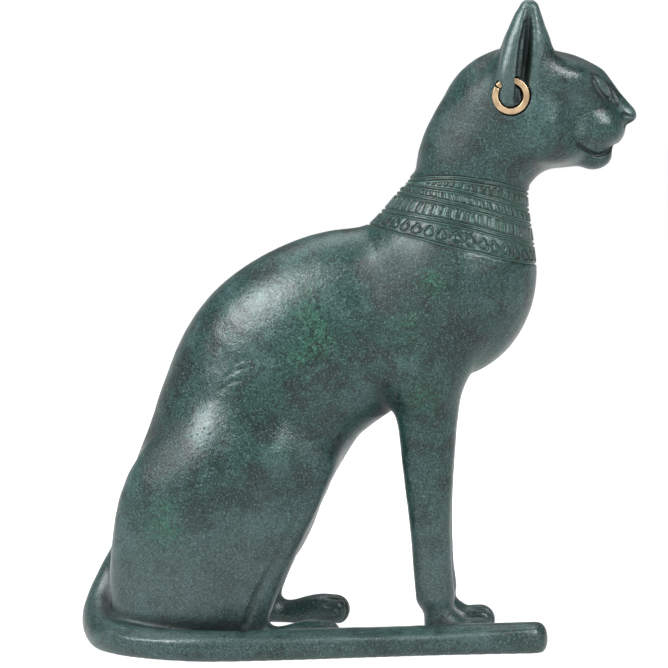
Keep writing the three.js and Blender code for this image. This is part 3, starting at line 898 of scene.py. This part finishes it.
def make_earring():
    """A flat band spun about its centre, with a fine slit. Its edges are rounded afterwards, in
    close_and_round.
    """
    centre = Vector((RING_CENTRE + ORIGIN) * MM)
    slit_at = math.radians(RING_SLIT_TURN)
    slit_half = RING_SLIT / 2 / RING_LINE_RADIUS
    start = slit_at + slit_half
    bpy.ops.object.select_all(action="DESELECT")
    bpy.ops.mesh.primitive_plane_add(size=1, location=(0, 0, 0))
    ring = bpy.context.object
    ring.name = "earring_band"
    band, thickness = RING_BAND * MM, RING_THICKNESS * MM
    outward = Vector((math.cos(start), 0, math.sin(start)))
    for vertex in ring.data.vertices:
        away = RING_LINE_RADIUS * MM + vertex.co.x * band
        vertex.co = centre + outward * away + Vector((0, vertex.co.y * thickness, 0))
    bpy.ops.object.mode_set(mode="EDIT")
    bpy.ops.mesh.select_all(action="SELECT")
    bpy.ops.mesh.spin(steps=96, angle=2 * math.pi - 2 * slit_half, center=centre, axis=(0, -1, 0))
    bpy.ops.mesh.select_all(action="SELECT")
    bpy.ops.mesh.remove_doubles(threshold=1e-6)
    bpy.ops.object.mode_set(mode="OBJECT")
    return ring


def close_and_round(ring):
    """Closes the band's two ends, turns its faces outward and rounds its long edges."""
    make_active(ring)
    bpy.ops.object.mode_set(mode="EDIT")
    bpy.ops.mesh.select_all(action="DESELECT")
    bpy.ops.mesh.select_mode(type="EDGE")
    bpy.ops.mesh.select_non_manifold()
    bpy.ops.mesh.edge_face_add()
    bpy.ops.mesh.select_all(action="SELECT")
    bpy.ops.mesh.normals_make_consistent(inside=False)
    bpy.ops.object.mode_set(mode="OBJECT")
    rounding = {"width": RING_ROUNDING * MM, "segments": 4}
    apply_modifier(ring, "BEVEL", limit_method="ANGLE", angle_limit=math.radians(40), **rounding)
    make_active(ring)
    bpy.ops.object.shade_smooth_by_angle(angle=math.radians(35))


def make_floor():
    bpy.ops.object.select_all(action="DESELECT")
    bpy.ops.mesh.primitive_plane_add(size=60, location=(0, 0, 0))
    floor = bpy.context.object
    floor.name = "floor"
    floor.data.materials.append(floor_finish())
    floor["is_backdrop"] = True


def make_camera():
    """The photograph's view: from the cat's right and a little ahead of it, looking slightly down."""
    distance, height, aside = 976.1, 241.4, 0.15
    turn, pitch = math.radians(4.6), math.radians(3.82)
    focal_pixels, picture_pixels = 2070.7, 668
    camera = bpy.data.objects.new("camera", bpy.data.cameras.new("camera"))
    bpy.context.collection.objects.link(camera)
    away = np.array([math.sin(turn) * distance + aside, -math.cos(turn) * distance, height])
    camera.location = (away + ORIGIN) * MM
    camera.rotation_euler = (math.radians(90) - pitch, 0, turn)
    camera.data.sensor_width = 36
    camera.data.lens = camera.data.sensor_width * focal_pixels / picture_pixels
    camera.data.shift_y = -0.1
    camera.data.clip_end = 50
    bpy.context.scene.camera = camera


def soft_light(name, place, aim, size, watts):
    data = bpy.data.lights.new(name, "AREA")
    data.shape = "RECTANGLE"
    data.size, data.size_y = size
    data.energy = watts
    lamp = bpy.data.objects.new(name, data)
    bpy.context.collection.objects.link(lamp)
    lamp.location = place
    lamp.rotation_euler = (Vector(aim) - Vector(place)).to_track_quat("-Z", "Y").to_euler()


def light_the_studio():
    """A white backdrop all round at the horizon, a dimmer ceiling, and three soft boxes."""
    world = bpy.data.worlds.new("studio")
    bpy.context.scene.world = world
    world.use_nodes = True
    tree = world.node_tree
    direction = tree.nodes.new("ShaderNodeTexCoord")
    parts = tree.nodes.new("ShaderNodeSeparateXYZ")
    fade = tree.nodes.new("ShaderNodeMapRange")
    fade.interpolation_type = "SMOOTHSTEP"
    tree.links.new(direction.outputs["Generated"], parts.inputs[0])
    tree.links.new(parts.outputs["Z"], fade.inputs["Value"])
    for name, value in {"From Min": 0.08, "From Max": 0.4, "To Min": 1.02, "To Max": 0.3}.items():
        fade.inputs[name].default_value = value
    tree.links.new(fade.outputs["Result"], tree.nodes["Background"].inputs["Strength"])
    tree.nodes["Background"].inputs["Color"].default_value = (1, 1, 1, 1)
    soft_light("key", (-0.75, -0.75, 0.95), (-0.02, 0, 0.16), (0.55, 0.55), 32)
    soft_light("front", (0.8, -0.8, 0.88), (0.05, 0, 0.2), (0.34, 0.45), 21)
    soft_light("top", (-0.1, 0.35, 1.3), (0, 0, 0.1), (1.2, 0.8), 12)
    view = bpy.context.scene.view_settings
    view.view_transform = "Standard"
    view.look = "None"
    view.exposure = 0
    view.gamma = 1


cat = make_cat()
paint_marks(cat)
cat.data.materials.clear()
cat.data.materials.append(bronze_finish())
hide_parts("cat")
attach(cat, "root")

earring = make_earring()
close_and_round(earring)
earring.data.materials.append(gold_finish())
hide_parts("earring")
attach(earring, "root")

make_floor()
make_camera()
light_the_studio()

sizes = {"solids": solid_box, "scene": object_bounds()}
{name: [list(corner) for corner in box] for name, box in sizes.items()}
